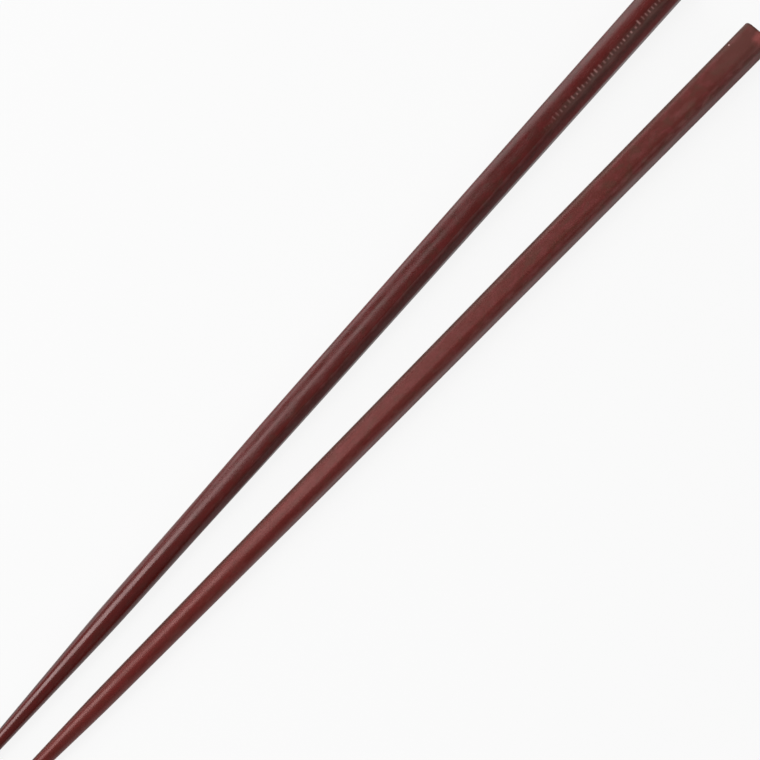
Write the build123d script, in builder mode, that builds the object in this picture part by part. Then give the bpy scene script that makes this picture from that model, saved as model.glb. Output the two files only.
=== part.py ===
from build123d import *
import os
from math import atan, cos, sin, sqrt

# A pair of wooden chopsticks lying side by side on a table, in millimetres with +Z up.
# Each stick is one piece of hardwood: a square shaft with rounded corners, whose four
# flats taper towards the tip and run out into a round neck, and then a round point.
# Each stick lies on one of its flats, with its butt towards -X, its tip towards +X and
# the table at Z = 0. The sticks are shaped by hand, so they differ by a few tenths.

# Alike on both sticks
stick_length = 250.0        # from the butt end to the tip end, along the stick
shaft_length = 142.0        # from the butt end to where the flats begin to run out
run_out_length = 38.0       # stretch over which the square turns round
corner_radius = 2.0         # long corners, all along the shaft
butt_edge_radius = 0.5      # softened edge round the butt end
tip_diameter = 2.4          # at the tip, before it is rounded over
tip_land = 0.6              # flat left in the middle of the rounded tip

# Upper stick, the fuller of the two, with the longer point
upper_butt_side = 7.45      # across the flats at the butt
upper_shaft_end_side = 6.22     # across the flats where they begin to run out
upper_neck_diameter = 5.88      # where the run-out meets the round neck
upper_point_diameter = 5.62     # where the neck meets the point
upper_point_length = 51.5       # from there to the tip

# Lower stick
lower_butt_side = 7.2
lower_shaft_end_side = 5.82
lower_neck_diameter = 5.44
lower_point_diameter = 4.72
lower_point_length = 36.5

# How the pair lies
butt_spacing = 24.0         # between the two sticks' axes at the butts
tip_spacing = 9.95          # between the two sticks' axes at the tips

# Each stick turns in towards the other, and the pair is centred over its whole width
inward = (butt_spacing - tip_spacing) / 2
centring = (upper_butt_side - lower_butt_side) / 4


def shaft_outline(butt_side, shaft_end_side):
    """Draw a shaft seen square on, with its length along the sketch's X."""
    Polygon(
        (0, butt_side / 2),
        (0, -butt_side / 2),
        (shaft_length, -shaft_end_side / 2),
        (shaft_length, shaft_end_side / 2),
        align=None,
    )


def make_chopstick(label, side, butt_side, shaft_end_side, neck_diameter, point_diameter, point_length):
    """Build one stick where it lies, on the -Y side (-1) or the +Y side (+1) of the pair."""
    # The axis leans down towards the tip by the taper of one side, so that the lower flat is level
    lean = atan((butt_side - shaft_end_side) / 2 / shaft_length)
    drop = stick_length * sin(lean)
    forward = sqrt(stick_length**2 - drop**2 - inward**2)
    butt = Plane(
        origin=(-forward / 2, side * butt_spacing / 2 + centring, butt_side / 2 * cos(lean)),
        x_dir=(side * inward, forward, 0),
        z_dir=(forward, -side * inward, -drop),
    )
    side_view = Plane(origin=butt.origin, x_dir=butt.z_dir, z_dir=butt.x_dir)
    top_view = Plane(origin=butt.origin, x_dir=butt.z_dir, z_dir=butt.y_dir)
    neck_base = butt.offset(shaft_length + run_out_length)
    point_base = butt.offset(stick_length - point_length)
    towards_tip = Axis(butt.origin, butt.z_dir)

    with BuildPart() as chopstick:
        # Shaft: tapered alike from the side and from above, then its long corners rounded
        with BuildSketch(side_view):
            shaft_outline(butt_side, shaft_end_side)
        extrude(amount=butt_side, both=True)
        with BuildSketch(top_view):
            shaft_outline(butt_side, shaft_end_side)
        extrude(amount=butt_side, both=True, mode=Mode.INTERSECT)
        fillet(chopstick.edges().group_by(SortBy.LENGTH)[-1], corner_radius)

        # Run-out: the square turns round, and the flats end in long tongues
        shaft_end = chopstick.faces().sort_by(towards_tip)[-1]
        with BuildSketch(neck_base, mode=Mode.PRIVATE) as neck_circle:
            Circle(neck_diameter / 2)
        loft(sections=[shaft_end, neck_circle.sketch.face()])

        # Neck: round, tapering a little faster than the shaft
        with BuildSketch(neck_base):
            Circle(neck_diameter / 2)
        with BuildSketch(point_base):
            Circle(point_diameter / 2)
        loft()

        # Point: a faster cone to the tip
        with BuildSketch(point_base):
            Circle(point_diameter / 2)
        with BuildSketch(butt.offset(stick_length)):
            Circle(tip_diameter / 2)
        loft()

        # Softened butt and rounded tip
        ends = chopstick.faces().sort_by(towards_tip)
        fillet(ends[0].edges(), butt_edge_radius)
        fillet(ends[-1].edges(), (tip_diameter - tip_land) / 2)
    chopstick.part.label = label
    return chopstick.part


upper_chopstick = make_chopstick(
    "upper_chopstick",
    side=-1,
    butt_side=upper_butt_side,
    shaft_end_side=upper_shaft_end_side,
    neck_diameter=upper_neck_diameter,
    point_diameter=upper_point_diameter,
    point_length=upper_point_length,
)
lower_chopstick = make_chopstick(
    "lower_chopstick",
    side=1,
    butt_side=lower_butt_side,
    shaft_end_side=lower_shaft_end_side,
    neck_diameter=lower_neck_diameter,
    point_diameter=lower_point_diameter,
    point_length=lower_point_length,
)

os.makedirs("parts", exist_ok=True)
export_step(upper_chopstick, "parts/upper_chopstick.step")
export_step(lower_chopstick, "parts/lower_chopstick.step")
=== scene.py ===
"""Dresses a pair of lacquered wooden chopsticks lying side by side on a pale table.

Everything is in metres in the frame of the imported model: +X runs from the butts to the
tips, +Z is up and the table is at Z = 0. Each stick is a fine numpy surface with the form
of its CAD solid, in stained hardwood under a satin lacquer. Patterns and marks are laid out
in stick space, which runs along, across and up from the middle of a stick's butt.
"""

import logging
import math
from dataclasses import dataclass
from enum import Enum
from functools import reduce
from typing import Any, ClassVar

import bpy
import numpy as np
from mathutils import Matrix, Vector


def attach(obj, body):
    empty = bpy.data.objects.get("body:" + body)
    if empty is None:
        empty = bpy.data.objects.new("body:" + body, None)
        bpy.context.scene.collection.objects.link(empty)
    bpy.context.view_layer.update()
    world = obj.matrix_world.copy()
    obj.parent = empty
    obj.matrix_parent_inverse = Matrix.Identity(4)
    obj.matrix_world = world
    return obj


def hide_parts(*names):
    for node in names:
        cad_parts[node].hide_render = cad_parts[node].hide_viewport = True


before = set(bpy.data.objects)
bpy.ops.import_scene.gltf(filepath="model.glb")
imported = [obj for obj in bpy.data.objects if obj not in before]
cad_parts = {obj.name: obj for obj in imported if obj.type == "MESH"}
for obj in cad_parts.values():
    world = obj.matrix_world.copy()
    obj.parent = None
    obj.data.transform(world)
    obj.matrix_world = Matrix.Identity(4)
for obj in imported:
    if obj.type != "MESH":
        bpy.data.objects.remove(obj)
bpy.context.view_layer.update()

Colour = tuple[float, float, float]
Triple = tuple[float, float, float]
Range = tuple[float, float]

MM = 0.001
QUARTER_TURN = math.pi / 2
RISE: Range = (0.0, 1.0)
FALL: Range = (1.0, 0.0)
WHITE: Colour = (1.0, 1.0, 1.0)
STICK_SPACE = "stick_space"
EDGE_SHARE = "edge_share"
# share of painted shade on the flank that faces -Y, stored on the mesh
FLANK_SHADE_SHARE = "flank_shade_share"

log = logging.getLogger("chopsticks")


class Side(Enum):
    """The two sticks of the pair, by the side of the middle line that each lies on."""

    UPPER = -1
    LOWER = 1


class Socket(Enum):
    """The kinds of socket that the shader groups have."""

    VALUE = "NodeSocketFloat"
    VECTOR = "NodeSocketVector"


@dataclass(frozen=True)
class NoiseLayer:
    """A layer of noise: its cells per millimetre on each axis, its finer layers and its start."""

    stretch: Triple
    detail: float = 2.0
    shift: Triple = (0.0, 0.0, 0.0)
    roughness: float = 0.55


class NodeBench:
    """Lays nodes into one shader tree and wires them together."""

    MIX_SHARE: ClassVar[int] = 0
    MIX_FIRST: ClassVar[int] = 6
    MIX_SECOND: ClassVar[int] = 7
    MIX_RESULT: ClassVar[int] = 2

    def __init__(self, tree: bpy.types.NodeTree) -> None:
        """Starts on the tree with all its nodes removed."""
        self.tree = tree
        tree.nodes.clear()

    def add(self, kind: str, inputs: dict[int | str, Any], **settings: Any) -> bpy.types.Node:
        """Adds one node and fills its sockets.

        Args:
            kind: the node's Blender type.
            inputs: socket name or number to a value, or to the output that feeds it.
            settings: properties of the node.

        Returns:
            The new node.
        """
        node = self.tree.nodes.new(kind)
        for name, value in settings.items():
            setattr(node, name, value)
        for key, value in inputs.items():
            if isinstance(value, bpy.types.NodeSocket):
                self.tree.links.new(value, node.inputs[key])
            else:
                node.inputs[key].default_value = value
        return node

    def group(self, tree: bpy.types.NodeTree, inputs: dict[int | str, Any]) -> Any:
        """Places a shader group with its inputs and returns its outputs."""
        return self.add("ShaderNodeGroup", inputs, node_tree=tree).outputs

    def attribute(self, name: str) -> Any:
        """Reads an attribute of the mesh and returns the node's outputs."""
        return self.add("ShaderNodeAttribute", {}, attribute_name=name).outputs

    def split(self, vector: Any) -> Any:
        """Parts a vector and returns its three values."""
        return self.add("ShaderNodeSeparateXYZ", {"Vector": vector}).outputs

    def sums(self, operation: str, *terms: Any, clamp: bool = False) -> bpy.types.NodeSocket:
        """Adds a Math node over the terms and returns its value."""
        settings = {"operation": operation, "use_clamp": clamp}
        return self.add("ShaderNodeMath", dict(enumerate(terms)), **settings).outputs[0]

    def product(self, *terms: Any) -> bpy.types.NodeSocket:
        """Multiplies the terms one after another and returns the result."""
        return reduce(lambda one, other: self.sums("MULTIPLY", one, other), terms)

    def vectors(self, operation: str, *terms: Any) -> Any:
        """Adds a Vector Math node over the terms and returns its outputs."""
        inputs = dict(enumerate(terms))
        return self.add("ShaderNodeVectorMath", inputs, operation=operation).outputs

    def ramp(self, value: Any, span: Range, to: Range = RISE) -> bpy.types.NodeSocket:
        """Eases a value from one range to another.

        Args:
            value: the value to ease.
            span: where the change starts and ends.
            to: the results at those two places.

        Returns:
            The eased value.
        """
        inputs = {"Value": value, "From Min": span[0], "From Max": span[1]}
        inputs |= {"To Min": to[0], "To Max": to[1]}
        return self.add("ShaderNodeMapRange", inputs, interpolation_type="SMOOTHSTEP").outputs[0]

    def noise(self, place: Any, layer: NoiseLayer) -> bpy.types.NodeSocket:
        """Draws noise over a stretched copy of the place.

        Args:
            place: the point to read, in millimetres.
            layer: the noise to draw.

        Returns:
            The noise, around one half.
        """
        spread = {"Vector": place, "Location": layer.shift, "Scale": layer.stretch}
        inputs = {"Vector": self.add("ShaderNodeMapping", spread).outputs[0], "Scale": 1.0}
        inputs |= {"Detail": layer.detail, "Roughness": layer.roughness}
        return self.add("ShaderNodeTexNoise", inputs).outputs[0]

    def lot(self, number: Any) -> bpy.types.NodeSocket:
        """Draws a lot between nothing and one for a whole number, always the same one."""
        return self.add("ShaderNodeTexWhiteNoise", {"W": number}, noise_dimensions="1D").outputs[0]

    def tint(self, share: Any, first: Any, second: Any) -> bpy.types.NodeSocket:
        """Mixes two colours by a share.

        Args:
            share: how much of the second colour there is.
            first: the first colour, written or from a socket.
            second: the second colour, written or from a socket.

        Returns:
            The mixed colour.
        """
        inputs = {self.MIX_SHARE: share}
        for key, colour in ((self.MIX_FIRST, first), (self.MIX_SECOND, second)):
            inputs[key] = colour if isinstance(colour, bpy.types.NodeSocket) else (*colour, 1.0)
        return self.add("ShaderNodeMix", inputs, data_type="RGBA").outputs[self.MIX_RESULT]


def shader_group(
    name: str, inputs: dict[str, Socket], outputs: dict[str, Socket]
) -> tuple[NodeBench, Any]:
    """Starts a shader node group with named sockets.

    Args:
        name: the group's name.
        inputs: socket names and kinds going in.
        outputs: socket names and kinds coming out.

    Returns:
        The bench on the group's tree, and what the group is given.
    """
    tree = bpy.data.node_groups.new(name, "ShaderNodeTree")
    for in_out, sockets in (("INPUT", inputs), ("OUTPUT", outputs)):
        for label, kind in sockets.items():
            tree.interface.new_socket(name=label, in_out=in_out, socket_type=kind.value)
    bench = NodeBench(tree)
    return bench, bench.add("NodeGroupInput", {}).outputs


@dataclass(frozen=True)
class TickRow:
    """A row of planer ticks on the upper corner that faces +Y, in millimetres of stick space."""

    SWING: ClassVar[float] = 0.55
    FADE_IN: ClassVar[float] = 8.0
    FADE_OUT: ClassVar[float] = 18.0

    pitch: float = 1.2
    slant: float = -0.05
    wander: float = 0.2
    line: float = 1.68
    half_width: float = 0.62
    start: float = 4.0
    end: float = 52.0
    depth: float = 0.015
    # share of the pale crest colour: scuffed lacquer and painted glints
    strength: float = 0.9
    gap_share: float = 0.35
    # share of the band's grey-brown: wear and a painted sheen
    wear: float = 0.6
    dulling: float = 0.2
    # grey-brown of the band beside the ticks: wear and a painted sheen
    worn_and_sheen: Colour = (0.090, 0.0520, 0.0420)

    def sockets(self) -> dict[str, float]:
        """The row's sizes by the group's socket names."""
        return {
            "Pitch": self.pitch,
            "Slant": self.slant,
            "Wander": self.wander,
            "Line": self.line,
            "Half Width": self.half_width,
            "Start": self.start,
            "End": self.end,
        }

    def relief(self, along: np.ndarray, across: np.ndarray) -> np.ndarray:
        """Depth of the scallops, in millimetres.

        Each scallop is a half wave of one pitch, deepest midway between two crests, faded out
        across the corner by a bell curve and towards both ends of the row by straight ramps.

        Args:
            along: distances from the butt, in millimetres.
            across: distances from the axis towards +Y, in millimetres.

        Returns:
            The depth at each point.
        """
        turns = (along + self.slant * across) / self.pitch
        turns = turns + self.wander * np.sin(self.SWING * along)
        wave = 0.5 - 0.5 * np.cos(math.tau * turns)
        bell = np.exp(-(((across - self.line) / self.half_width) ** 2))
        begun = np.clip((along - self.start) / self.FADE_IN, 0.0, 1.0)
        left = np.clip((self.end - along) / self.FADE_OUT, 0.0, 1.0)
        return self.depth * wave * bell * begun * left


@dataclass(frozen=True)
class Patch:
    """An oval of scuffed, chipped or stained lacquer, or a painted highlight, in millimetres of
    stick space.
    """

    along: float
    across: float
    length: float
    width: float
    share: float
    colour: Colour
    depth: float = 0.0
    up: float = 3.4
    drop: float = 3.0

    def sockets(self) -> dict[str, Triple]:
        """The patch's middle and reach by the group's socket names."""
        reach = (self.length / 2, self.width / 2, self.drop)
        return {"Middle": (self.along, self.across, self.up), "Reach": reach}

    def relief(self, along: np.ndarray, across: np.ndarray) -> np.ndarray:
        """Depth of a chipped patch, in millimetres, a bell curve round its middle.

        Args:
            along: distances from the butt, in millimetres.
            across: distances from the axis towards +Y, in millimetres.

        Returns:
            The depth at each point.
        """
        off_along = (along - self.along) / (self.length / 2)
        off_across = (across - self.across) / (self.width / 2)
        return self.depth * np.exp(-(off_along**2 + off_across**2))


@dataclass(frozen=True)
class Marks:
    """The marks of making and of use on one stick."""

    patches: tuple[Patch, ...]
    ticks: TickRow | None = None

    def relief(self, along: np.ndarray, across: np.ndarray, up: np.ndarray) -> np.ndarray:
        """Depth of the ticks and of chipped patches together, on the upper side alone.

        Args:
            along: distances from the butt, in metres.
            across: distances from the axis towards +Y, in metres.
            up: heights over the axis, in metres.

        Returns:
            The depth at each point, in metres.
        """
        marks = self.patches if self.ticks is None else (self.ticks, *self.patches)
        depth = sum(mark.relief(along / MM, across / MM) for mark in marks)
        return np.where(up > 0.0, depth * MM, 0.0)


@dataclass(frozen=True)
class WoodFigure:
    """The lengthwise figure of the wood: its noises, and the spans that make masks of them."""

    broad: NoiseLayer = NoiseLayer((0.025, 0.9, 0.9), detail=3.0)
    fine: NoiseLayer = NoiseLayer((0.07, 3.6, 3.6), detail=3.0)
    pores: NoiseLayer = NoiseLayer((0.5, 8.0, 8.0), detail=1.0)
    mottle: NoiseLayer = NoiseLayer((0.11, 0.32, 0.32), detail=3.0)
    olive: NoiseLayer = NoiseLayer((0.3, 0.5, 0.5), shift=(5.0, 2.0, 9.0))
    blush: NoiseLayer = NoiseLayer((0.32, 0.55, 0.55), shift=(31.0, 17.0, 4.0))
    fine_share: float = 0.45
    streak_span: Range = (0.34, 0.66)
    pore_span: Range = (0.62, 0.72)
    mottle_span: Range = (0.36, 0.64)
    blotch_span: Range = (0.47, 0.66)

    def build(self) -> bpy.types.NodeTree:
        """Draws the figure from stick space in millimetres.

        Streak is noise stretched some forty times along the stick, in a broad and a fine layer.
        Pores are short dark dashes where a fine stretched noise peaks. Mottle drifts slowly along
        the stick. Olive and Blush are two sets of blotches a few millimetres long, where a
        coarser noise peaks.

        Returns:
            The group.
        """
        masks = ("Streak", "Pores", "Mottle", "Olive", "Blush")
        bench, given = shader_group(
            "wood figure", {"Place": Socket.VECTOR}, {mask: Socket.VALUE for mask in masks}
        )
        place = given["Place"]
        broad = bench.product(bench.noise(place, self.broad), 1.0 - self.fine_share)
        fine = bench.noise(place, self.fine)
        streak = bench.sums("MULTIPLY_ADD", fine, self.fine_share, broad)
        ends = {
            "Streak": bench.ramp(streak, self.streak_span),
            "Pores": bench.ramp(bench.noise(place, self.pores), self.pore_span),
            "Mottle": bench.ramp(bench.noise(place, self.mottle), self.mottle_span),
            "Olive": bench.ramp(bench.noise(place, self.olive), self.blotch_span),
            "Blush": bench.ramp(bench.noise(place, self.blush), self.blotch_span),
        }
        bench.add("NodeGroupOutput", ends)
        return bench.tree


@dataclass(frozen=True)
class HandlingWear:
    """The wear of the lacquer in use: its noises, and the spans that make masks of them."""

    patches: NoiseLayer = NoiseLayer((0.35, 0.9, 0.9), detail=4.0)
    haze: NoiseLayer = NoiseLayer((0.16, 0.5, 0.5), detail=3.0, shift=(3.0, 7.0, 1.0))
    patch_span: Range = (0.42, 0.68)
    haze_span: Range = (0.3, 0.7)

    def build(self) -> bpy.types.NodeTree:
        """Finds where use has scuffed the lacquer.

        Rub is the share of edge times a broken noise, so that corners and the butt's rim wear
        in patches. Haze is a slow noise for dull and bright areas of the lacquer.

        Returns:
            The group.
        """
        bench, given = shader_group(
            "handling wear",
            {"Place": Socket.VECTOR, "Edge": Socket.VALUE},
            {"Rub": Socket.VALUE, "Haze": Socket.VALUE},
        )
        place = given["Place"]
        patches = bench.ramp(bench.noise(place, self.patches), self.patch_span)
        rub = bench.sums("MULTIPLY", given["Edge"], patches, clamp=True)
        haze = bench.ramp(bench.noise(place, self.haze), self.haze_span)
        bench.add("NodeGroupOutput", {"Rub": rub, "Haze": haze})
        return bench.tree


@dataclass(frozen=True)
class PlanerTicks:
    """How each tick of a row differs from the next, and how soft the ticks are.

    Spans and jitter along the row are in pitches, those across it in half widths or millimetres.
    """

    second_lot: float = 40.5
    row_jitter: float = 0.18
    line_jitter: float = 0.4
    crest_span: Range = (0.04, 0.26)
    gap_span: Range = (0.25, 0.45)
    width_span: Range = (0.3, 1.0)
    reach_spread: Range = (0.6, 1.35)
    strength_spread: Range = (0.4, 1.0)
    upper_side: Range = (0.5, 2.5)
    band_offset: float = 0.8
    band_span: Range = (0.9, 2.6)
    broken: NoiseLayer = NoiseLayer((0.3, 0.9, 0.9), detail=3.0)
    broken_span: Range = (0.3, 0.62)
    broken_spread: Range = (0.45, 1.0)

    def build(self) -> bpy.types.NodeTree:
        """Draws a row of short slanted ticks along one long corner.

        The ticks are counted by the distance along the stick plus a slant, over the pitch, with a
        slow sine that makes the pitch wander. Each tick draws two lots, for its strength and its
        place along the row, and for its reach and its place across it. Crest marks the pale crests,
        partly scuffed lacquer and partly painted glints. Gap lies between the ticks, and
        WearAndSheen is a broad band beside the row, partly wear and partly a painted grey sheen.

        Returns:
            The group.
        """
        sizes = ("Pitch", "Slant", "Wander", "Line", "Half Width", "Start", "End")
        masks = ("Crest", "Gap", "WearAndSheen")
        bench, given = shader_group(
            "planer ticks",
            {"Place": Socket.VECTOR, **{size: Socket.VALUE for size in sizes}},
            {mask: Socket.VALUE for mask in masks},
        )
        place = given["Place"]
        pitch, slant, wander, line, half_width, start, end = (given[size] for size in sizes)
        along, across, up = bench.split(place)

        # Which tick a point belongs to, and that tick's two lots
        slanted = bench.sums("DIVIDE", bench.sums("MULTIPLY_ADD", across, slant, along), pitch)
        swing = bench.sums("SINE", bench.product(along, TickRow.SWING))
        turns = bench.sums("MULTIPLY_ADD", swing, wander, slanted)
        number = bench.sums("ROUND", turns)
        lot = bench.lot(number)
        other = bench.lot(bench.sums("ADD", number, self.second_lot))

        # Along the row, the crest of the tick and the gap to the next
        aside = bench.product(bench.sums("SUBTRACT", lot, 0.5), self.row_jitter)
        past = bench.sums("SUBTRACT", bench.sums("SUBTRACT", turns, number), aside)
        off_tick = bench.sums("ABSOLUTE", past)
        crest = bench.ramp(off_tick, self.crest_span, FALL)
        gap = bench.ramp(off_tick, self.gap_span)

        # Across the row, the tick's own reach
        off_line = bench.sums("SUBTRACT", across, line)
        drift = bench.sums("SUBTRACT", other, 0.5)
        moved = bench.sums("MULTIPLY_ADD", drift, self.line_jitter, off_line)
        reach = bench.product(half_width, bench.ramp(other, RISE, self.reach_spread))
        share = bench.sums("DIVIDE", bench.sums("ABSOLUTE", moved), reach)
        narrow = bench.ramp(share, self.width_span, FALL)

        # The row's ends, and the upper side alone
        begun = bench.ramp(bench.sums("SUBTRACT", along, start), (0.0, TickRow.FADE_IN))
        left = bench.ramp(bench.sums("SUBTRACT", end, along), (0.0, TickRow.FADE_OUT))
        on_row = bench.product(begun, left, bench.ramp(up, self.upper_side))

        # The worn band beside the row
        off_band = bench.sums("ABSOLUTE", bench.sums("SUBTRACT", off_line, self.band_offset))
        band = bench.ramp(bench.sums("DIVIDE", off_band, half_width), self.band_span, FALL)
        broken = bench.ramp(bench.noise(place, self.broken), self.broken_span, self.broken_spread)

        strength = bench.ramp(lot, RISE, self.strength_spread)
        ends = {
            "Crest": bench.product(crest, narrow, strength, on_row),
            "Gap": bench.product(gap, narrow, on_row),
            "WearAndSheen": bench.product(band, on_row, broken),
        }
        bench.add("NodeGroupOutput", ends)
        return bench.tree


@dataclass(frozen=True)
class WornPatch:
    """The soft rim of a patch: its noise, how far that moves the rim, and where the rim lies."""

    waver: NoiseLayer = NoiseLayer((0.8, 1.2, 1.2), detail=3.0)
    waver_share: float = 0.7
    rim_span: Range = (0.35, 1.0)

    def build(self) -> bpy.types.NodeTree:
        """Finds a soft oval patch.

        The mask falls from one to nothing with the distance from the middle over the patch's
        reach on each axis, wavering with a noise.

        Returns:
            The group.
        """
        bench, given = shader_group(
            "worn patch",
            {"Place": Socket.VECTOR, "Middle": Socket.VECTOR, "Reach": Socket.VECTOR},
            {"Mask": Socket.VALUE},
        )
        off = bench.vectors("SUBTRACT", given["Place"], given["Middle"])[0]
        away = bench.vectors("LENGTH", bench.vectors("DIVIDE", off, given["Reach"])[0])["Value"]
        waver = bench.sums("SUBTRACT", bench.noise(given["Place"], self.waver), 0.5)
        away = bench.sums("MULTIPLY_ADD", waver, self.waver_share, away)
        bench.add("NodeGroupOutput", {"Mask": bench.ramp(away, self.rim_span, FALL)})
        return bench.tree


@dataclass(frozen=True)
class EndGrain:
    """The growth rings on a butt's end, in millimetres of stick space."""

    pith: Triple = (0.0, -9.0, -13.0)
    bend: NoiseLayer = NoiseLayer((0.5, 0.5, 0.5))
    bend_reach: float = 1.6
    turn_per_mm: float = 7.0
    ring_span: Range = (-0.6, 1.0)
    end_span: Range = (0.15, 0.5)

    def build(self) -> bpy.types.NodeTree:
        """Draws the growth rings that show on the butt's end.

        Ring is a sine of the distance from a pith that lies outside the stick, bent by a noise,
        and fades out within half a millimetre of the end.

        Returns:
            The group.
        """
        bench, given = shader_group("end grain", {"Place": Socket.VECTOR}, {"Ring": Socket.VALUE})
        place = given["Place"]
        off = bench.vectors("SUBTRACT", place, self.pith)[0]
        away = bench.vectors("LENGTH", off)["Value"]
        bend = bench.noise(place, self.bend)
        bent = bench.sums("MULTIPLY_ADD", bend, self.bend_reach, away)
        rings = bench.sums("SINE", bench.product(bent, self.turn_per_mm))
        near_end = bench.ramp(bench.split(place)[0], self.end_span, FALL)
        ring = bench.product(bench.ramp(rings, self.ring_span), near_end)
        bench.add("NodeGroupOutput", {"Ring": ring})
        return bench.tree


class Effects:
    """The shader groups that the sticks' materials share."""

    def __init__(self) -> None:
        """Builds each group once."""
        self.figure = WoodFigure().build()
        self.wear = HandlingWear().build()
        self.ticks = PlanerTicks().build()
        self.patch = WornPatch().build()
        self.rings = EndGrain().build()


class StickShading:
    """A stick's material in the making: its bench, and what it reads off the mesh.

    Places are in millimetres of stick space.
    """

    def __init__(
        self, tree: bpy.types.NodeTree, effects: Effects, pattern_shift: Triple
    ) -> None:
        """Adds the nodes that read the mesh, and the groups that every stick has.

        Args:
            tree: the material's tree.
            effects: the shared shader groups.
            pattern_shift: how far the patterns of this stick are moved.
        """
        self.bench = bench = NodeBench(tree)
        self.effects = effects
        space = {"Vector": bench.attribute(STICK_SPACE)["Vector"], "Scale": 1.0 / MM}
        self.place = bench.add("ShaderNodeVectorMath", space, operation="SCALE").outputs[0]
        self.along, self.across, self.up = bench.split(self.place)
        # the flank share, which places painted shade
        self.flank = bench.attribute(FLANK_SHADE_SHARE)["Fac"]
        edge = bench.attribute(EDGE_SHARE)["Fac"]
        shifted = {"Vector": self.place, "Location": pattern_shift}
        self.moved = bench.add("ShaderNodeMapping", shifted).outputs[0]
        self.figure = bench.group(effects.figure, {"Place": self.moved})
        self.wear = bench.group(effects.wear, {"Place": self.moved, "Edge": edge})

    def lengthwise(self, span: Range, to: Range) -> bpy.types.NodeSocket:
        """Eases a value along the stick, from one result to another over a span."""
        return self.bench.ramp(self.along, span, to)


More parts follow.
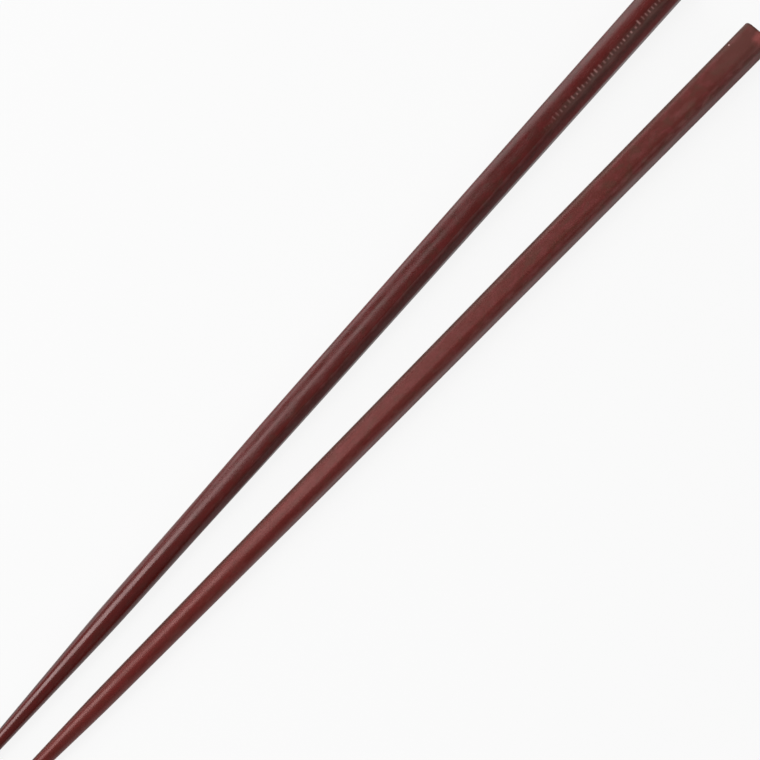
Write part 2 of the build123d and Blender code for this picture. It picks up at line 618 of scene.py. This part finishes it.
@dataclass(frozen=True)
class LacqueredWood:
    """One stick's finish: hardwood stained dark red-brown, under a satin lacquer.

    Spans, lengths and starts are in millimetres of stick space.
    """

    name: str
    deep: Colour
    warm: Colour
    brown: Colour
    handled: Colour
    olive: Colour
    blush: Colour
    # the darker colour of pores and the butt's end, and also the colour of the painted shade on the
    # flank and of the gaps between ticks
    stain_and_shade: Colour
    # pale colour of scuffed edges, and of the tick crests, where it is also a painted glint
    rub_and_glint: Colour
    mirror_tint: Colour
    roughness: float
    pattern_shift: Triple
    handled_length: float
    # painted shade on the flank that faces -Y, at the two ends of flank_span
    flank_painted_shade: Range
    side_dulling: float = 0.0
    handled_dulling: float = 0.0
    brown_share: float = 0.45
    handled_share: float = 0.8
    handled_start: float = 10.0
    blotch_shares: Range = (0.5, 0.2)
    blotch_start: float = 20.0
    flank_span: Range = (150.0, 240.0)
    pore_share: float = 0.2
    end_share: float = 0.7
    end_span: Range = (0.2, 0.8)
    ring_share: float = 0.6
    rub_share: float = 0.3
    haze_spread: float = 0.1
    handled_dulling_span: Range = (5.0, 45.0)
    side_across: Range = (2.3, 3.0)
    side_up: Range = (-0.8, 0.1)
    side_along: Range = (150.0, 185.0)
    peel: NoiseLayer = NoiseLayer((0.3, 1.1, 1.1), detail=1.0)
    peel_height: float = 0.65
    streak_height: float = 0.2
    relief_strength: float = 0.025
    relief_depth: float = 0.06 * MM
    lacquer_ior: float = 1.5

    def stained(self, work: StickShading) -> bpy.types.NodeSocket:
        """Colours the wood.

        Streaks run from the deep to the warm colour, mottling pulls towards brown, and the handled
        end is darker, with blotches of olive and of red. The pores and the butt's end are stained
        darker, and rings show on that end. The flank that faces -Y is darkened by painted shade.
        Edges scuffed in use are paler.

        Args:
            work: the material in the making.

        Returns:
            The wood's colour.
        """
        bench, figure = work.bench, work.figure
        handled_span = (self.handled_start, self.handled_length)
        blotch_span = (self.blotch_start, self.handled_length)
        blotches = work.lengthwise(blotch_span, self.blotch_shares)
        # how much painted shade the flank gets along the stick
        flank_shade_along = work.lengthwise(self.flank_span, self.flank_painted_shade)
        rings = bench.group(work.effects.rings, {"Place": work.place})["Ring"]
        colour = bench.tint(figure["Streak"], self.deep, self.warm)
        for share, shade in (
            (bench.product(figure["Mottle"], self.brown_share), self.brown),
            (work.lengthwise(handled_span, (self.handled_share, 0.0)), self.handled),
            (bench.product(figure["Olive"], blotches), self.olive),
            (bench.product(figure["Blush"], blotches), self.blush),
            # painted shade on the flank that faces -Y
            (bench.product(work.flank, flank_shade_along), self.stain_and_shade),
            (bench.product(figure["Pores"], self.pore_share), self.stain_and_shade),
            (work.lengthwise(self.end_span, (self.end_share, 0.0)), self.stain_and_shade),
            (bench.product(rings, self.ring_share), self.brown),
            (bench.product(work.wear["Rub"], self.rub_share), self.rub_and_glint),
        ):
            colour = bench.tint(share, colour, shade)
        return colour

    def dulled(self, work: StickShading) -> bpy.types.NodeSocket:
        """Works out the lacquer's roughness.

        It follows the haze, and rises at the handled butt and on the upper part of the side flat
        that faces +Y, as far as the run-out.

        Args:
            work: the material in the making.

        Returns:
            The roughness.
        """
        bench = work.bench
        clear = self.roughness - self.haze_spread / 2
        hazy = bench.sums("MULTIPLY_ADD", work.wear["Haze"], self.haze_spread, clear)
        at_butt = work.lengthwise(self.handled_dulling_span, (self.handled_dulling, 0.0))
        on_side = bench.product(
            bench.ramp(work.across, self.side_across),
            bench.ramp(work.up, self.side_up),
            work.lengthwise(self.side_along, (self.side_dulling, 0.0)),
        )
        return bench.sums("ADD", on_side, bench.sums("ADD", at_butt, hazy))

    def marked(self, work: StickShading, marks: Marks, colour: Any, dull: Any) -> tuple[Any, Any]:
        """Lays the patches and the row of ticks over the finish.

        The band beside the ticks is dull and grey-brown, partly wear and partly a painted sheen.
        The gaps between the ticks are darker, and their crests are pale, partly scuffed lacquer
        and partly painted glints.

        Args:
            work: the material in the making.
            marks: the stick's marks.
            colour: the colour so far.
            dull: the roughness so far.

        Returns:
            The marked colour and roughness.
        """
        bench, ticks = work.bench, marks.ticks
        for patch in marks.patches:
            sockets = {"Place": work.place, **patch.sockets()}
            mask = bench.group(work.effects.patch, sockets)["Mask"]
            colour = bench.tint(bench.product(mask, patch.share), colour, patch.colour)
        if ticks is not None:
            row = bench.group(work.effects.ticks, {"Place": work.place, **ticks.sockets()})
            # the band gets wear and a painted grey sheen, the crests scuffing and painted glints
            for mask, share, shade in (
                ("WearAndSheen", ticks.wear, ticks.worn_and_sheen),
                ("Gap", ticks.gap_share, self.stain_and_shade),
                ("Crest", ticks.strength, self.rub_and_glint),
            ):
                colour = bench.tint(bench.product(row[mask], share), colour, shade)
            dull = bench.sums("MULTIPLY_ADD", row["WearAndSheen"], ticks.dulling, dull)
        return colour, dull

    def material(self, effects: Effects, marks: Marks) -> bpy.types.Material:
        """Builds the node material.

        The stained and marked wood lies under a lacquer with a fine relief of streaks and peel,
        whose own red tints what it mirrors head on.

        Args:
            effects: the shared shader groups.
            marks: the stick's marks.

        Returns:
            The material.
        """
        material = bpy.data.materials.new(self.name)
        material.use_nodes = True
        work = StickShading(material.node_tree, effects, self.pattern_shift)
        bench = work.bench
        colour, dull = self.marked(work, marks, self.stained(work), self.dulled(work))
        peel = bench.product(bench.noise(work.moved, self.peel), self.peel_height)
        height = bench.sums("MULTIPLY_ADD", work.figure["Streak"], self.streak_height, peel)
        sizes = {"Strength": self.relief_strength, "Distance": self.relief_depth}
        finish = {
            "Base Color": colour,
            "Roughness": dull,
            "IOR": self.lacquer_ior,
            "Specular Tint": (*self.mirror_tint, 1.0),
            "Normal": bench.add("ShaderNodeBump", {**sizes, "Height": height}).outputs[0],
        }
        skin = bench.add("ShaderNodeBsdfPrincipled", finish)
        bench.add("ShaderNodeOutputMaterial", {"Surface": skin.outputs[0]})
        return material


@dataclass(frozen=True)
class Outline:
    """A square section with rounded corners and crowned flats, in degrees and metres."""

    crown: float = 2.0
    corner_radius: float = 2.0 * MM
    flat_steps: int = 10
    corner_steps: int = 14

    def columns(self) -> tuple[np.ndarray, np.ndarray, np.ndarray]:
        """Lays out the points round the section.

        Each quarter turn is a crowned flat, whose normal swings a few degrees either way, and a
        corner arc that swings the rest. A section is (half side - corner radius) times a carrier
        plus corner radius times the normal. On a flat the carrier is that of a wide arc through
        the flat's middle, and on a corner it is the corner arc's centre. The corner share is the
        square of a straight rise from the middle of a flat to the middle of a corner.

        Returns:
            The normals, the carriers, both as (across, up) rows, and the corner share of each.
        """
        crown = math.radians(self.crown)
        kappa = 1.0 + math.sin(crown) - math.cos(crown)
        flat = np.linspace(-crown, crown, self.flat_steps, endpoint=False)
        corner = np.linspace(crown, QUARTER_TURN - crown, self.corner_steps, endpoint=False)
        quarter = np.concatenate([flat, corner])
        turn = np.repeat(np.arange(4), len(quarter)) * QUARTER_TURN
        angle = np.tile(quarter, 4) + turn
        on_corner = np.tile(np.arange(len(quarter)) >= self.flat_steps, 4)
        normal = np.stack([np.sin(angle), np.cos(angle)], axis=1)
        face = np.stack([np.sin(turn), np.cos(turn)], axis=1)
        next_face = np.stack([np.cos(turn), -np.sin(turn)], axis=1)
        on_flat = (1.0 - 1.0 / kappa) * face + normal / kappa
        at_corner = math.sin(crown) / kappa * (face + next_face)
        carrier = np.where(on_corner[:, None], at_corner, on_flat)
        swing = np.abs(np.tile(quarter, 4) - QUARTER_TURN / 2) / (QUARTER_TURN / 2)
        return normal, carrier, np.clip(1.0 - swing, 0.0, 1.0) ** 2


@dataclass
class Chopstick:
    """One stick: a square shaft whose flats taper and run out into a round neck and point."""

    node: str
    side: Side
    finish: LacqueredWood
    butt_half: float
    shaft_end_half: float
    neck_radius: float
    point_radius: float
    point_length: float
    marks: Marks
    outline: Outline = Outline()
    length: float = 250.0 * MM
    shaft_length: float = 142.0 * MM
    run_out_length: float = 38.0 * MM
    butt_edge_radius: float = 0.5 * MM
    tip_radius: float = 1.2 * MM
    tip_rounding: float = 0.9 * MM
    butt_spacing: float = 24.0 * MM
    tip_spacing: float = 9.95 * MM
    centring: float = 0.0625 * MM
    easing: float = 8.0 * MM
    easing_end: float = 0.9
    easing_places: int = 10
    face_span: Range = (0.15, 0.9)
    face_rings: int = 6
    bend_rings: int = 9
    fine_end: float = 48.0 * MM
    fine_step: float = 0.2 * MM
    coarse_step: float = 0.6 * MM
    nose_clearance: float = 0.3 * MM
    wear_knee: float = 60.0 * MM
    wear_shares: Triple = (1.0, 0.55, 0.25)
    rim_wear: float = 0.4
    rim_place: float = 0.9 * MM
    rim_reach: float = 0.5 * MM
    end_falloff: int = 6
    flank_start: float = 0.15
    flank_reach: float = 0.4

    def axes(self) -> tuple[np.ndarray, np.ndarray]:
        """Finds where the stick lies.

        The axis leans down by the taper of one side, so that the lower flat is level, and turns
        in towards the other stick by half the difference of the two spacings.

        Returns:
            The butt's middle, and the directions along, across and up as rows.
        """
        lean = math.atan((self.butt_half - self.shaft_end_half) / self.shaft_length)
        drop = self.length * math.sin(lean)
        inward = self.side.value * (self.butt_spacing - self.tip_spacing) / 2
        forward = math.sqrt(self.length**2 - drop**2 - inward**2)
        along = np.array([forward, -inward, -drop]) / self.length
        across = np.array([inward, forward, 0.0]) / math.hypot(inward, forward)
        aside = self.side.value * self.butt_spacing / 2 + self.centring
        butt = np.array([-forward / 2, aside, self.butt_half * math.cos(lean)])
        return butt, np.stack([along, across, np.cross(along, across)])

    def sections(self, along: np.ndarray) -> np.ndarray:
        """Sections of the stick before its ends are rounded.

        The half side falls in a straight line along the shaft. Over the run-out each point of
        the square section goes in a straight line to the point of a circle at the same bearing,
        and from there the circle shrinks slowly along the neck and faster along the point. The
        whole is a weighted mean over a short stretch of the stick, which eases the changes of
        slope.

        Args:
            along: distances from the butt.

        Returns:
            Points as (row, column, (across, up)).
        """
        normal, carrier, _ = self.outline.columns()
        corner_radius = self.outline.corner_radius
        shaft = self.shaft_length
        neck, point = shaft + self.run_out_length, self.length - self.point_length
        last = (self.shaft_end_half - corner_radius) * carrier + corner_radius * normal
        bearing = last / np.linalg.norm(last, axis=1, keepdims=True)
        reach = np.minimum(self.easing, np.minimum(along, self.length - along))
        shifts = np.linspace(-self.easing_end, self.easing_end, self.easing_places)
        weights = (1.0 - np.abs(shifts)) / np.sum(1.0 - np.abs(shifts))
        places = along[:, None] + reach[:, None] * shifts[None, :]
        half = np.interp(places, [0.0, shaft], [self.butt_half, self.shaft_end_half])
        roundness = np.interp(places, [shaft, neck], RISE)
        radii = [self.neck_radius, self.point_radius, self.tip_radius]
        radius = np.interp(places, [neck, point, self.length], radii)
        on_carrier = ((1.0 - roundness) * (half - corner_radius)) @ weights
        on_normal = ((1.0 - roundness) * corner_radius) @ weights
        on_bearing = (roundness * radius) @ weights
        return (
            on_carrier[:, None, None] * carrier
            + on_normal[:, None, None] * normal
            + on_bearing[:, None, None] * bearing
        )

    def rows(self) -> tuple[np.ndarray, np.ndarray, np.ndarray]:
        """Lays out the rings from the middle of the butt to the middle of the tip.

        Rings on the two end faces shrink towards the axis by a share. Rings on the butt's rim
        draw in along their normals by a quarter circle, and those on the round tip shrink by one.
        The rest are closer together under the ticks.

        Returns:
            Each ring's distance from the butt, its draw-in along the normal, and its share.
        """
        face = np.linspace(*self.face_span, self.face_rings)
        bend = np.linspace(0.0, QUARTER_TURN, self.bend_rings)
        rim, nose = self.butt_edge_radius, self.tip_rounding
        body_end = self.length - nose - self.nose_clearance
        body = np.concatenate([
            np.arange(rim + self.fine_step, self.fine_end, self.fine_step),
            np.arange(self.fine_end, body_end, self.coarse_step),
        ])
        along = np.concatenate([
            np.zeros(len(face)),
            rim * (1.0 - np.cos(bend)),
            body,
            self.length - nose + nose * np.sin(bend),
            np.full(len(face), self.length),
        ])
        draw_in = np.concatenate([
            np.full(len(face), rim),
            rim * (1.0 - np.sin(bend)),
            np.zeros(len(body) + len(bend) + len(face)),
        ])
        rounding = 1.0 - nose / self.tip_radius * (1.0 - np.cos(bend))
        full = np.ones(len(bend) + len(body))
        share = np.concatenate([face, full, rounding, rounding[-1] * face[::-1]])
        return along, draw_in, share

    def surface(self) -> tuple[np.ndarray, np.ndarray, np.ndarray]:
        """Works out the whole skin in stick space.

        A point is its section's, drawn in along the normal, shrunk by the ring's share and sunk
        by the marks. The edge share is the corner share, fading towards the tip, plus a bell
        curve at the butt's rim. The flank share, which places painted shade, rises with the part
        of the normal that points towards -Y. Both fall to nothing within the end faces, by a high
        power of the ring's share.

        Returns:
            Points as (row, column, (along, across, up)), and the edge and flank shares of each.
        """
        normal, _, corner = self.outline.columns()
        along, draw_in, share = self.rows()
        ring = self.sections(along) - draw_in[:, None, None] * normal
        ring *= share[:, None, None]
        x = np.broadcast_to(along[:, None], ring.shape[:2])
        ring = ring - self.marks.relief(x, ring[..., 0], ring[..., 1])[..., None] * normal

        inside = share**self.end_falloff
        fade = np.interp(along, [0.0, self.wear_knee, self.length], self.wear_shares)
        rim = self.rim_wear * np.exp(-(((along - self.rim_place) / self.rim_reach) ** 2))
        edge = np.clip((fade * inside)[:, None] * corner[None, :] + rim[:, None], 0.0, 1.0)
        # the flank share places painted shade on the side that faces -Y
        turned = np.clip((-normal[:, 0] - self.flank_start) / self.flank_reach, 0.0, 1.0)
        return np.concatenate([x[..., None], ring], axis=2), edge, inside[:, None] * turned

    def build(self) -> bpy.types.Object:
        """Makes the skin a closed mesh with a pole at each end and stores stick space on it.

        Returns:
            The stick's object.
        """
        local, edge, flank = self.surface()
        rows, columns = edge.shape
        poles = np.array([[0.0, 0.0, 0.0], [self.length, 0.0, 0.0]])
        points = np.concatenate([local.reshape(-1, 3), poles])
        butt, axes = self.axes()
        index = np.arange(rows * columns).reshape(rows, columns)
        after = np.roll(index, -1, axis=1)
        quads = np.stack([index[:-1], index[1:], after[1:], after[:-1]], axis=-1).reshape(-1, 4)
        first = np.full(columns, rows * columns)
        butt_fan = np.stack([first, index[0], after[0]], axis=-1)
        tip_fan = np.stack([first + 1, after[-1], index[-1]], axis=-1)
        faces = [*butt_fan.tolist(), *quads.tolist(), *tip_fan.tolist()]
        mesh = bpy.data.meshes.new(f"{self.node}_skin")
        mesh.from_pydata((butt + points @ axes).tolist(), [], faces)
        mesh.polygons.foreach_set("use_smooth", np.ones(len(mesh.polygons), dtype=bool))
        space = mesh.attributes.new(STICK_SPACE, "FLOAT_VECTOR", "POINT")
        space.data.foreach_set("vector", points.astype(np.float32).ravel())
        for name, share in ((EDGE_SHARE, edge), (FLANK_SHADE_SHARE, flank)):
            values = np.concatenate([share.ravel(), np.zeros(len(poles))])
            shares = mesh.attributes.new(name, "FLOAT", "POINT")
            shares.data.foreach_set("value", values.astype(np.float32))
        mesh.update()
        stick = bpy.data.objects.new(f"{self.node}_lacquered", mesh)
        bpy.context.scene.collection.objects.link(stick)
        return stick

    def dress(self, effects: Effects) -> bpy.types.Object:
        """Builds the stick, gives it its finish and lets it stand for its CAD node.

        Args:
            effects: the shared shader groups.

        Returns:
            The stick's object.
        """
        stick = self.build()
        stick.data.materials.append(self.finish.material(effects, self.marks))
        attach(stick, "root")
        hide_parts(self.node)
        log.info("%s: %d faces for %s", stick.name, len(stick.data.polygons), self.node)
        return stick


@dataclass
class Table:
    """The plain pale table that the pair lies on."""

    half_width: float = 6.0
    gap: float = 0.05 * MM
    colour: Colour = (0.72, 0.72, 0.72)
    lift: float = 0.88
    mirror_lift: float = 0.5

    def build(self) -> bpy.types.Object:
        """Makes the table top as one flat sheet and logs it as staging.

        The table lights the pair as a plain pale surface. Where it is seen it is lifted towards
        white, most of the way straight and half of it in a reflection, which leaves a light
        shadow.

        Returns:
            The table's object.
        """
        turns = ((-1, -1), (1, -1), (1, 1), (-1, 1))
        corners = [(x * self.half_width, y * self.half_width, -self.gap) for x, y in turns]
        mesh = bpy.data.meshes.new("table_top")
        mesh.from_pydata(corners, [], [(0, 1, 2, 3)])
        material = bpy.data.materials.new("pale matt table")
        material.use_nodes = True
        bench = NodeBench(material.node_tree)
        path = bench.add("ShaderNodeLightPath", {}).outputs
        rays = (path["Is Glossy Ray"], path["Is Transmission Ray"])
        share = bench.product(bench.sums("ADD", *rays, clamp=True), self.mirror_lift)
        share = bench.sums("MULTIPLY_ADD", path["Is Camera Ray"], self.lift, share)
        pale = bench.add("ShaderNodeBsdfDiffuse", {"Color": (*self.colour, 1.0)})
        white = bench.add("ShaderNodeEmission", {"Color": (*WHITE, 1.0), "Strength": 1.0})
        skin = bench.add("ShaderNodeMixShader", {0: share, 1: pale.outputs[0], 2: white.outputs[0]})
        bench.add("ShaderNodeOutputMaterial", {"Surface": skin.outputs[0]})
        mesh.materials.append(material)
        table = bpy.data.objects.new("table", mesh)
        bpy.context.scene.collection.objects.link(table)
        log.info("%s: staging", table.name)
        return table


@dataclass(frozen=True)
class SoftBox:
    """A rectangular soft light facing the pair, leaning from overhead towards -Y.

    Its length runs along X, and its lean is in degrees.
    """

    name: str
    lean: float
    length: float
    width: float
    brightness: float
    distance: float = 0.8
    shift: float = 0.0
    mirrored: bool = True

    def build(self) -> bpy.types.Object:
        """Hangs the light at a power that gives its brightness.

        A light that only fills is hidden from mirroring.

        Returns:
            The lamp's object.
        """
        lean = math.radians(self.lean)
        out = Vector((0.0, -math.sin(lean), math.cos(lean)))
        forward = Vector((1.0, 0.0, 0.0))
        lamp = bpy.data.lights.new(self.name, "AREA")
        lamp.shape = "RECTANGLE"
        lamp.size, lamp.size_y = self.length, self.width
        lamp.energy = self.brightness * math.pi * self.length * self.width
        hung = bpy.data.objects.new(self.name.replace(" ", "_"), lamp)
        turn = Matrix((forward, out.cross(forward), out)).transposed().to_4x4()
        place = out * self.distance + forward * self.shift
        hung.matrix_world = Matrix.Translation(place) @ turn
        hung.visible_glossy = self.mirrored
        bpy.context.scene.collection.objects.link(hung)
        log.info("%s: %.1f W", hung.name, lamp.energy)
        return hung


@dataclass
class StudioLight:
    """A plain studio of soft lights in a dim, even room.

    Two lights hang over the butts, one on each side, two strips over the shafts and a stronger
    light over the tips. A low card shows in the flanks, and a broad fill does not.
    """

    boxes: tuple[SoftBox, ...] = (
        SoftBox("butt softbox", 50.0, length=0.4, width=0.4, brightness=2.9, shift=-0.34),
        SoftBox("far softbox", -50.0, length=0.4, width=0.4, brightness=1.8, shift=-0.34),
        SoftBox("shaft strip", 20.0, length=0.245, width=0.14, brightness=3.5, shift=0.0375),
        SoftBox("side strip", 51.0, length=0.3, width=0.22, brightness=3.4, shift=0.01),
        SoftBox(
            "tip softbox", 20.0, length=0.36, width=0.5, brightness=7.0, distance=0.79, shift=0.34
        ),
        SoftBox("low card", 79.0, length=3.2, width=0.56, brightness=1.4, distance=1.6),
        SoftBox(
            "broad fill", -40.0, length=1.6, width=1.2, brightness=0.2, distance=1.0, mirrored=False
        ),
    )
    room: Colour = (0.15, 0.15, 0.15)

    def build(self) -> None:
        """Hangs the lights and sets the room's level."""
        for box in self.boxes:
            box.build()
        world = bpy.data.worlds.new("even room")
        world.use_nodes = True
        bench = NodeBench(world.node_tree)
        glow = bench.add("ShaderNodeBackground", {"Color": (*self.room, 1.0), "Strength": 1.0})
        bench.add("ShaderNodeOutputWorld", {"Surface": glow.outputs[0]})
        bpy.context.scene.world = world


@dataclass
class ViewingCamera:
    """The camera: it looks down on the pair, tilted towards +Y, and turned in its own plane."""

    tilt: float = 20.0
    distance: float = 0.45
    target: Triple = (-9.7 * MM, 1.14 * MM, 0.0)
    butt_to_tip: tuple[float, float] = (-0.68493, 0.72861)
    pixels_per_metre: float = 4360.0
    frame_pixels: float = 760.0
    sensor: float = 36.0
    clip: Range = (0.01, 50.0)

    def build(self) -> bpy.types.Object:
        """Sets the camera up.

        The camera's right and up are the two turns of +X and of the tilted +Y that show +X in
        the given direction in the picture, right and down.

        Returns:
            The camera's object.
        """
        tilt = math.radians(self.tilt)
        right_share, down_share = self.butt_to_tip
        out = Vector((0.0, math.sin(tilt), math.cos(tilt)))
        aside = Vector((0.0, math.cos(tilt), -math.sin(tilt)))
        forward = Vector((1.0, 0.0, 0.0))
        right = (right_share * forward + down_share * aside).normalized()
        above = (right_share * aside - down_share * forward).normalized()
        data = bpy.data.cameras.new("viewing camera")
        data.sensor_width = self.sensor
        data.lens = self.pixels_per_metre * self.distance / self.frame_pixels * self.sensor
        data.clip_start, data.clip_end = self.clip
        camera = bpy.data.objects.new("viewing_camera", data)
        turn = Matrix((right, above, out)).transposed().to_4x4()
        place = Vector(self.target) + out * self.distance
        camera.matrix_world = Matrix.Translation(place) @ turn
        bpy.context.scene.collection.objects.link(camera)
        bpy.context.scene.camera = camera
        log.info("%s: %.1f mm lens", camera.name, data.lens)
        return camera


UPPER_FINISH = LacqueredWood(
    name="brown lacquered hardwood",
    deep=(0.092, 0.0082, 0.0068),
    warm=(0.126, 0.0115, 0.0096),
    brown=(0.096, 0.0155, 0.0120),
    handled=(0.072, 0.0104, 0.0080),
    olive=(0.062, 0.0240, 0.0150),
    blush=(0.125, 0.0125, 0.0130),
    stain_and_shade=(0.034, 0.0100, 0.0070),
    rub_and_glint=(0.330, 0.1700, 0.1550),
    mirror_tint=(1.0, 0.78, 0.77),
    roughness=0.24,
    pattern_shift=(11.0, 3.0, 5.0),
    handled_length=230.0,
    flank_painted_shade=(0.0, 1.0),
    side_dulling=0.5,
)
LOWER_FINISH = LacqueredWood(
    name="red lacquered hardwood",
    deep=(0.114, 0.0112, 0.0092),
    warm=(0.160, 0.0165, 0.0136),
    brown=(0.130, 0.0208, 0.0148),
    handled=(0.096, 0.0150, 0.0110),
    olive=(0.074, 0.0300, 0.0165),
    blush=(0.165, 0.0260, 0.0280),
    stain_and_shade=(0.045, 0.0170, 0.0090),
    rub_and_glint=(0.330, 0.1500, 0.1350),
    mirror_tint=(1.0, 0.62, 0.59),
    roughness=0.38,
    pattern_shift=(140.0, 31.0, 17.0),
    handled_length=190.0,
    flank_painted_shade=(0.65, 0.55),
    handled_dulling=0.15,
)

RED_BESIDE_TICKS = Patch(
    along=20.0, across=-0.4, length=64.0, width=3.2, share=0.6, colour=(0.125, 0.0105, 0.0090)
)
RED_SIDE_FLAT = Patch(
    along=22.0, across=3.3, length=110.0, width=4.4, share=0.7, colour=(0.170, 0.0100, 0.0090),
    up=0.5, drop=3.2,
)
DULL_BUTT = Patch(
    along=5.0, across=0.3, length=26.0, width=8.0, share=0.6, colour=(0.104, 0.0350, 0.0270)
)
# a pale pink oval on the rounded corner of the lower stick's butt: a painted highlight
PAINTED_HIGHLIGHT_BUTT_CORNER = Patch(
    along=0.9, across=2.0, length=5.4, width=4.2, share=0.8, colour=(0.290, 0.0680, 0.0620)
)
WORN_FLAT = Patch(
    along=24.0, across=0.9, length=9.0, width=2.2, share=0.2, colour=(0.200, 0.0800, 0.0700)
)
EDGE_NICK = Patch(
    along=6.8, across=-2.3, length=0.6, width=0.6, share=1.0, colour=(0.480, 0.2900, 0.2700),
    depth=0.06,
)

UPPER_MARKS = Marks((RED_BESIDE_TICKS, RED_SIDE_FLAT), ticks=TickRow())
LOWER_MARKS = Marks((DULL_BUTT, PAINTED_HIGHLIGHT_BUTT_CORNER, WORN_FLAT, EDGE_NICK))


def main() -> None:
    """Builds the camera, the pair, the table and the light, in that order."""
    logging.basicConfig(level=logging.INFO, format="%(name)s: %(message)s")
    bpy.context.scene.view_settings.view_transform = "Standard"
    ViewingCamera().build()
    effects = Effects()
    upper = Chopstick(
        node="upper_chopstick",
        side=Side.UPPER,
        finish=UPPER_FINISH,
        butt_half=3.725 * MM,
        shaft_end_half=3.11 * MM,
        neck_radius=2.94 * MM,
        point_radius=2.81 * MM,
        point_length=51.5 * MM,
        marks=UPPER_MARKS,
        outline=Outline(crown=14.0, corner_radius=1.2 * MM),
    )
    lower = Chopstick(
        node="lower_chopstick",
        side=Side.LOWER,
        finish=LOWER_FINISH,
        butt_half=3.6 * MM,
        shaft_end_half=2.91 * MM,
        neck_radius=2.72 * MM,
        point_radius=2.36 * MM,
        point_length=36.5 * MM,
        marks=LOWER_MARKS,
    )
    for stick in (upper, lower):
        stick.dress(effects)
    Table().build()
    StudioLight().build()


if __name__ == "__main__":
    main()
